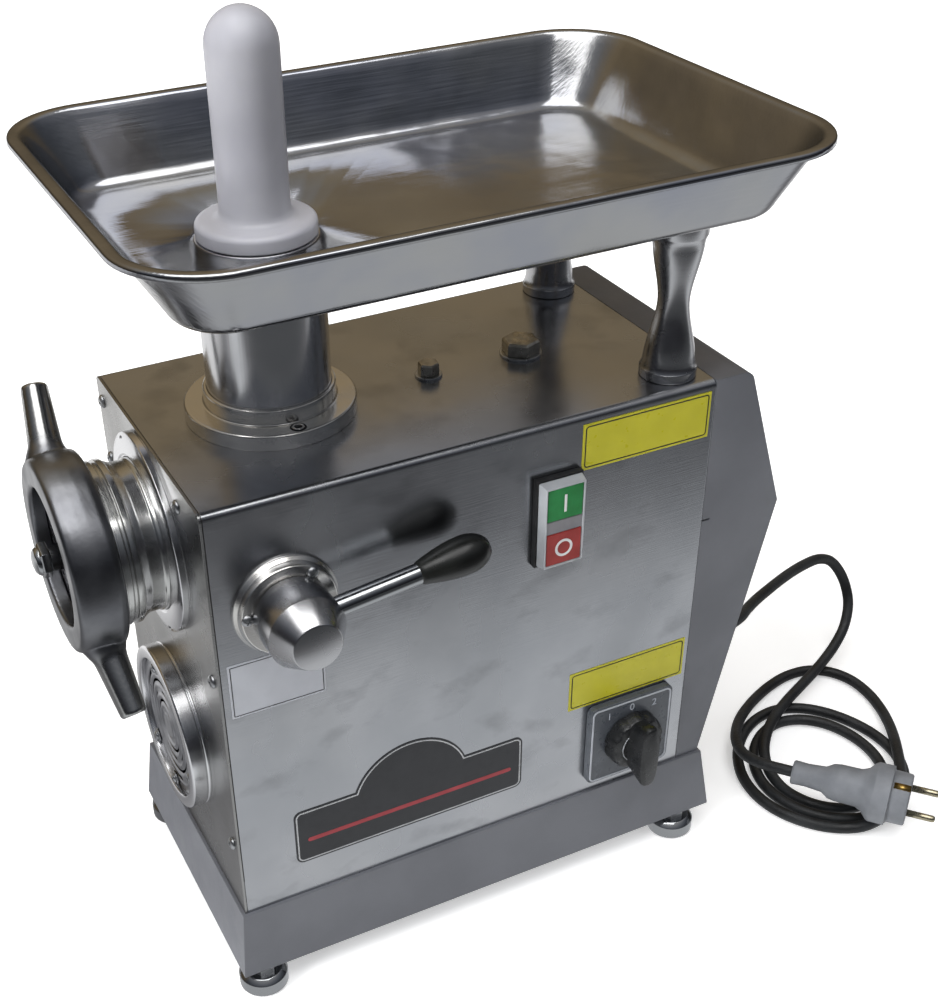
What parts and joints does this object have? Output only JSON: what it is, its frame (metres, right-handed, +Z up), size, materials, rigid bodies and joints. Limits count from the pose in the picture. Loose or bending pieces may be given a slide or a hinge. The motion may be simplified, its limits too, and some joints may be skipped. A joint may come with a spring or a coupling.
{
  "type": "electric meat grinder",
  "caption": "Electric meat grinder with a steel housing, a feed tray on pillars, a cast head with a ring nut, a clamp lever, push buttons, a cam switch and a mains cord",
  "frame": {"origin": "middle of the machine's footprint without its cord, on the surface that the feet stand on", "axes": "+Z up, +X along the head's axis from the outlet towards the motor cover, -Y towards the operator"},
  "size_m": [0.6364, 0.3234, 0.5643],
  "materials": {
    "brushed_steel": "brushed stainless sheet, smudged",
    "polished_steel": "polished stainless and turned steel",
    "cast_satin": "satin cast metal",
    "grey_paint": "grey hammer-free enamel",
    "zinc": "zinc plated hardware",
    "black_plastic": "black moulded plastic",
    "black_rubber": "black rubber",
    "grey_plastic": "grey moulded plastic",
    "green_plastic": "green moulded plastic",
    "red_plastic": "red moulded plastic",
    "white_plastic": "white food-safe plastic",
    "yellow_label": "yellow printed film",
    "white_label": "white printed film",
    "black_label": "black printed film",
    "cast_iron": "grey casting",
    "copper": "wound stator",
    "brass": "brass pins"
  },
  "bodies": {
    "housing": {"body_shell": "brushed_steel", "left_end_plate": "brushed_steel", "housing_screws": "zinc", "inner_frame": "zinc", "motor_cover": "grey_paint", "base_skirt": "grey_paint", "chassis_plate": "zinc", "foot_cups": "polished_steel", "foot_studs": "zinc", "neck_flange": "polished_steel", "head_set_screws": "zinc", "throat_tube": "polished_steel", "head_socket": "polished_steel", "vent_ring": "polished_steel", "vent_guard": "cast_satin", "trim_screws": "zinc", "lock_flange": "polished_steel", "station_collar": "black_plastic", "station_frame": "grey_plastic", "station_bridge": "grey_plastic", "switch_blocks": "black_plastic", "cam_plate_frame": "grey_plastic", "caution_plate": "yellow_label", "switch_plate": "yellow_label", "instruction_plate": "white_label", "badge_plate": "black_label", "oil_plugs": "zinc", "plug_washers": "zinc", "tray_pillars": "polished_steel", "gearbox_housing": "cast_iron", "gearbox_cover": "cast_iron", "shaft_bearings": "brass", "motor_frame": "grey_paint", "motor_stator": "copper", "electrics": "grey_plastic", "cable_gland": "black_rubber", "power_cord": "black_rubber", "cord_coil": "black_rubber", "cord_tail": "black_rubber", "mains_plug": "grey_plastic", "plug_pins": "brass"},
    "head": {"head_casting": "polished_steel", "perforated_plate": "brushed_steel"},
    "ring_nut_body": {"ring_nut": "cast_satin"},
    "auger_body": {"auger": "cast_satin", "auger_stud": "polished_steel", "knife": "brushed_steel"},
    "output_body": {"output_gear": "cast_iron"},
    "lay_body": {"lay_shaft": "cast_iron"},
    "rotor_body": {"motor_rotor": "cast_iron", "cooling_fan": "black_plastic"},
    "lock_body": {"lock_hub": "polished_steel", "lock_lever": "polished_steel", "lock_grip": "black_plastic"},
    "tray_body": {"feed_tray": "polished_steel"},
    "pusher_body": {"pusher": "white_plastic"},
    "start_body": {"start_button": "green_plastic"},
    "stop_body": {"stop_button": "red_plastic"},
    "knob_body": {"cam_knob": "black_plastic"}
  },
  "joints": [
    {"name": "head_slide", "type": "slide", "parent": "housing", "child": "head", "axis": [-1, 0, 0], "range_m": [0, 0.12]},
    {"name": "ring_nut_turn", "type": "hinge", "parent": "head", "child": "ring_nut_body", "pos_m": [-0.1951, 0, 0.291], "axis": [1, 0, 0], "range_deg": [-90, 90]},
    {"name": "output_turn", "type": "hinge", "parent": "housing", "child": "output_body", "pos_m": [0.0209, 0, 0.291], "axis": [1, 0, 0], "continuous": true},
    {"name": "auger_turn", "type": "hinge", "parent": "head", "child": "auger_body", "pos_m": [-0.1091, 0, 0.291], "axis": [1, 0, 0], "continuous": true},
    {"name": "lay_turn", "type": "hinge", "parent": "housing", "child": "lay_body", "pos_m": [0.0409, 0, 0.226], "axis": [1, 0, 0], "continuous": true},
    {"name": "rotor_turn", "type": "hinge", "parent": "housing", "child": "rotor_body", "pos_m": [-0.0491, 0, 0.151], "axis": [1, 0, 0], "continuous": true},
    {"name": "lock_turn", "type": "hinge", "parent": "housing", "child": "lock_body", "pos_m": [-0.1071, -0.109, 0.283], "axis": [0, -1, 0], "range_deg": [0, 110]},
    {"name": "tray_lift", "type": "slide", "parent": "housing", "child": "tray_body", "axis": [0, 0, 1], "range_m": [0, 0.06]},
    {"name": "pusher_lift", "type": "slide", "parent": "housing", "child": "pusher_body", "axis": [0, 0, 1], "range_m": [0, 0.15]},
    {"name": "start_press", "type": "slide", "parent": "housing", "child": "start_body", "axis": [0, 1, 0], "range_m": [0, 0.003], "stiffness_N_per_m": 400, "springref_m": -0.002},
    {"name": "stop_press", "type": "slide", "parent": "housing", "child": "stop_body", "axis": [0, 1, 0], "range_m": [0, 0.003], "stiffness_N_per_m": 400, "springref_m": -0.002},
    {"name": "knob_turn", "type": "hinge", "parent": "housing", "child": "knob_body", "pos_m": [0.1199, -0.099, 0.106], "axis": [0, -1, 0], "range_deg": [-60, 60]}
  ],
  "couplings": [
    {"joint": "auger_turn", "follows": "output_turn", "ratio": 1},
    {"joint": "lay_turn", "follows": "output_turn", "ratio": -2.7143},
    {"joint": "rotor_turn", "follows": "output_turn", "ratio": 10.857}
  ]
}
